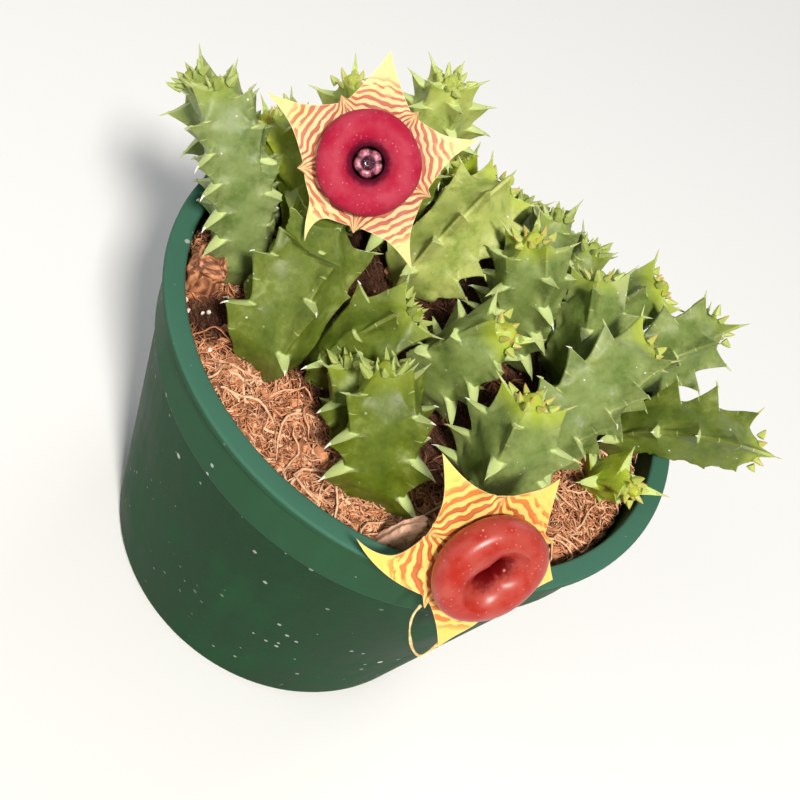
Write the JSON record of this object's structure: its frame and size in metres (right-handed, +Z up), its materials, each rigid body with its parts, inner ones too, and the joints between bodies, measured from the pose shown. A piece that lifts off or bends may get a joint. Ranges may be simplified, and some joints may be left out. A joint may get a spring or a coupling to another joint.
{
  "type": "potted starfish flower",
  "caption": "Clump of toothed, ribbed succulent stems with banded star flowers round a raised red ring, rooted in soil in a round tapered plastic nursery pot.",
  "frame": {"origin": "middle of the pot's flat underside", "axes": "+Z up the pot's axis; -Y towards the side where both flowers face; +X towards the stem that leans over the lip"},
  "size_m": [0.1327, 0.1067, 0.1198],
  "materials": {
    "pot_plastic": "smooth green plastic with a soft sheen",
    "soil": "loose reddish-brown coir and bark, rough and matte",
    "bark": "rough chip of bark",
    "stem_flesh": "firm waxy green plant flesh, satin",
    "petal": "thick cream-yellow petal with red-brown bands, satin",
    "ring_flesh": "thick shiny red flower ring",
    "corona_flesh": "waxy pink flower centre with dark spots"
  },
  "bodies": {
    "root": {"pot": "pot_plastic", "soil": "soil", "bark_chip": "bark", "stem_01": "stem_flesh", "stem_02": "stem_flesh", "stem_03": "stem_flesh", "stem_04": "stem_flesh", "stem_05": "stem_flesh", "stem_06": "stem_flesh", "stem_07": "stem_flesh", "stem_08": "stem_flesh", "stem_09": "stem_flesh", "stem_10": "stem_flesh", "stem_11": "stem_flesh", "stem_12": "stem_flesh", "stem_13": "stem_flesh", "stem_14": "stem_flesh", "stem_15": "stem_flesh", "stem_16": "stem_flesh", "stem_17": "stem_flesh", "stem_18": "stem_flesh", "stem_19": "stem_flesh", "stem_20": "stem_flesh", "stem_21": "stem_flesh", "stem_22": "stem_flesh", "stem_23": "stem_flesh", "stem_24": "stem_flesh", "stem_25": "stem_flesh", "flower_1_corolla": "petal", "flower_1_ring": "ring_flesh", "flower_1_corona": "corona_flesh", "flower_2_corolla": "petal", "flower_2_ring": "ring_flesh", "flower_2_corona": "corona_flesh"}
  },
  "joints": []
}
